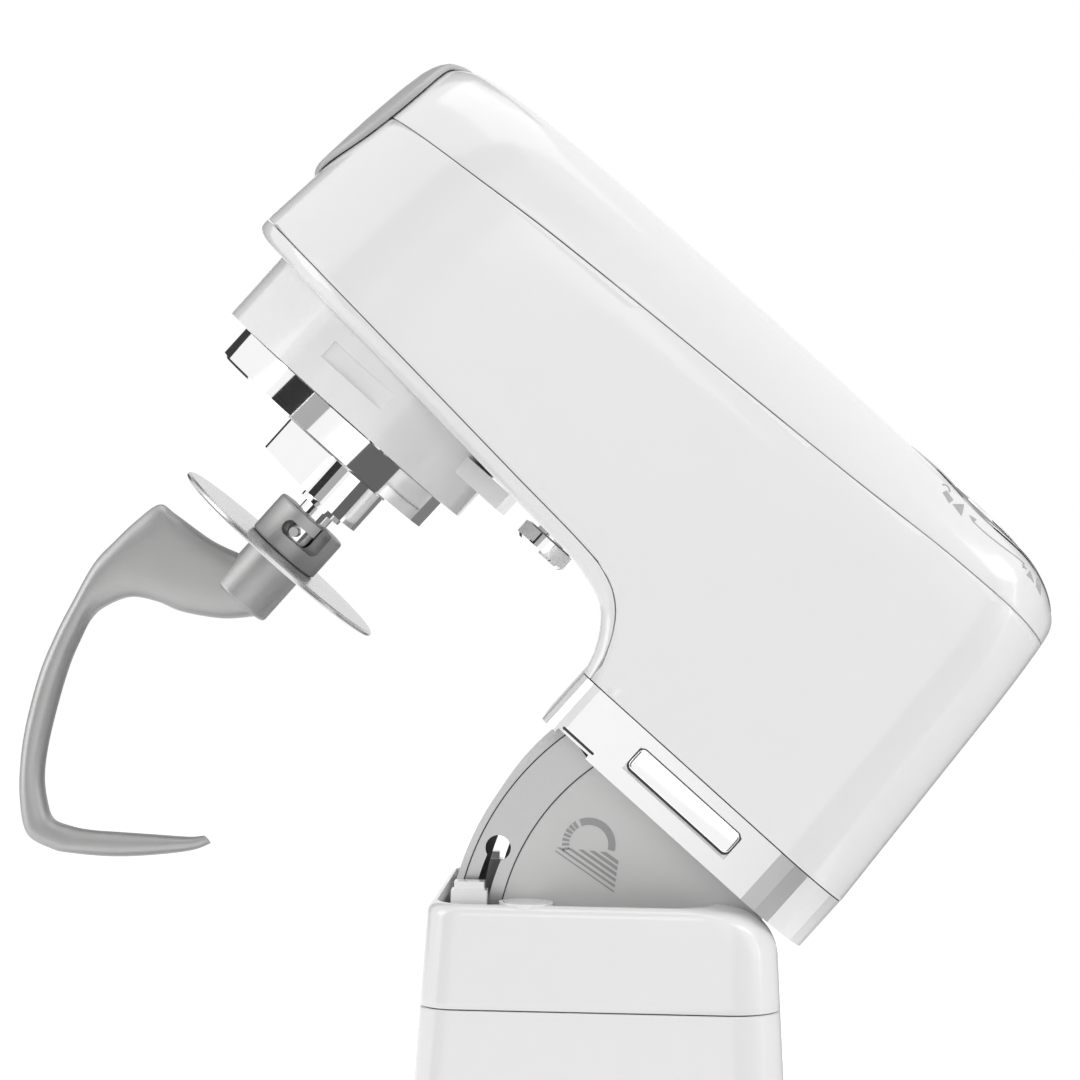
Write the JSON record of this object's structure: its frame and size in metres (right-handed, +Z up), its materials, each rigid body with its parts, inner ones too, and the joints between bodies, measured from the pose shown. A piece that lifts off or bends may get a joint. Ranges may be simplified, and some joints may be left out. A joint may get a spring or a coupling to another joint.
{
  "type": "stand mixer",
  "caption": "Tilt-head stand mixer with planetary drive, head raised, dough hook and splash disc fitted, bowl platform bare.",
  "frame": {"origin": "on the table under the middle of the machine's box", "axes": "+Z up, +X to the back of the machine, +Y to the lock button's side"},
  "size_m": [0.4358, 0.2138, 0.4914],
  "materials": {
    "white_shell": "glossy white moulding",
    "grey_plastic": "satin warm grey moulding",
    "plate_grey": "plain grey moulding",
    "chrome": "bright chrome plate",
    "stainless": "brushed stainless",
    "cast_aluminium": "fine sand-cast satin aluminium",
    "polished_disc": "spun satin aluminium",
    "steel": "machined steel",
    "motor_iron": "varnished laminated iron",
    "copper": "turned copper",
    "bronze": "sintered bronze",
    "black_plastic": "black moulding",
    "rubber": "soft black rubber",
    "board": "circuit board lacquer"
  },
  "bodies": {
    "base": {"base_shell": "white_shell", "pedestal_cover": "white_shell", "base_plate": "plate_grey", "rubber_feet": "rubber", "bowl_seat_ring": "stainless", "base_screws": "steel", "hinge_bracket": "steel", "hinge_pin": "steel", "ledge_bumpers": "white_shell", "ledge_caps": "white_shell", "lock_guide": "plate_grey", "knob_bezel": "chrome", "speed_switch": "black_plastic", "control_board": "board", "cord_inlet": "black_plastic"},
    "head": {"head_top_cover": "white_shell", "head_side_shell": "white_shell", "head_bottom_cover": "white_shell", "neck_band": "chrome", "name_plate": "chrome", "neck_floor": "white_shell", "neck_shroud": "grey_plastic", "lock_strips": "stainless", "head_frame": "cast_aluminium", "top_bridge": "steel", "hinge_bushes": "bronze", "head_screws": "steel", "gearbox_housing": "white_shell", "ring_gear": "steel", "gearbox_bearings": "steel", "guard_stud": "chrome", "front_socket": "chrome", "top_socket": "chrome", "motor_stator": "motor_iron", "motor_bracket": "cast_aluminium", "motor_brushes": "black_plastic", "drive_belt": "rubber"},
    "speed_knob": {"speed_knob": "white_shell"},
    "lock": {"lock_pin": "stainless", "lock_button": "grey_plastic", "lock_spring": "steel"},
    "front_cap": {"front_cap": "grey_plastic"},
    "top_lid": {"top_lid": "white_shell"},
    "rotor": {"armature": "motor_iron", "commutator": "copper", "cooling_fan": "plate_grey", "small_pulley": "steel", "top_coupling": "black_plastic"},
    "lay": {"lay_shaft": "steel", "large_pulley": "black_plastic"},
    "carrier": {"main_gear": "steel", "main_shaft": "steel", "planet_disc": "chrome", "planet_boss": "chrome", "spindle_bush": "bronze"},
    "spindle": {"planet_pinion": "steel", "spindle_shaft": "chrome", "spindle_pin": "stainless"},
    "hook": {"dough_hook": "cast_aluminium", "splash_disc": "polished_disc"}
  },
  "joints": [
    {"name": "head_tilt", "type": "hinge", "parent": "base", "child": "head", "pos_m": [0.104, 0, 0.183], "axis": [0, 1, 0], "range_deg": [-41, 0]},
    {"name": "speed_turn", "type": "hinge", "parent": "base", "child": "speed_knob", "pos_m": [0.062, -0.07153, 0.088], "axis": [0, -0.9983, 0.0579], "range_deg": [-150, 20]},
    {"name": "lock_press", "type": "slide", "parent": "base", "child": "lock", "axis": [0, 1, 0], "range_m": [0, 0.006], "deforming": ["lock_spring"]},
    {"name": "front_cap_pull", "type": "slide", "parent": "head", "child": "front_cap", "axis": [-0.6806, 0, 0.7326], "range_m": [0, 0.03]},
    {"name": "top_lid_lift", "type": "slide", "parent": "head", "child": "top_lid", "axis": [0.6561, 0, 0.7547], "range_m": [0, 0.03]},
    {"name": "carrier_spin", "type": "hinge", "parent": "head", "child": "carrier", "pos_m": [-0.01212, 0, 0.38994], "axis": [0.6561, 0, 0.7547], "continuous": true},
    {"name": "spindle_spin", "type": "hinge", "parent": "carrier", "child": "spindle", "pos_m": [-0.01752, -0.02825, 0.35489], "axis": [0.6561, 0, 0.7547], "continuous": true},
    {"name": "lay_spin", "type": "hinge", "parent": "head", "child": "lay", "pos_m": [0.04327, 0, 0.36829], "axis": [0.6561, 0, 0.7547], "continuous": true},
    {"name": "motor_spin", "type": "hinge", "parent": "head", "child": "rotor", "pos_m": [0.13776, 0, 0.2729], "axis": [0.6561, 0, 0.7547], "continuous": true},
    {"name": "hook_twist", "type": "hinge", "parent": "spindle", "child": "hook", "pos_m": [-0.05033, -0.02825, 0.31716], "axis": [0.6561, 0, 0.7547], "range_deg": [-38, 0]}
  ],
  "couplings": [
    {"joint": "spindle_spin", "follows": "carrier_spin", "ratio": -3.8333},
    {"joint": "lay_spin", "follows": "carrier_spin", "ratio": -3.6667},
    {"joint": "motor_spin", "follows": "carrier_spin", "ratio": -11}
  ]
}
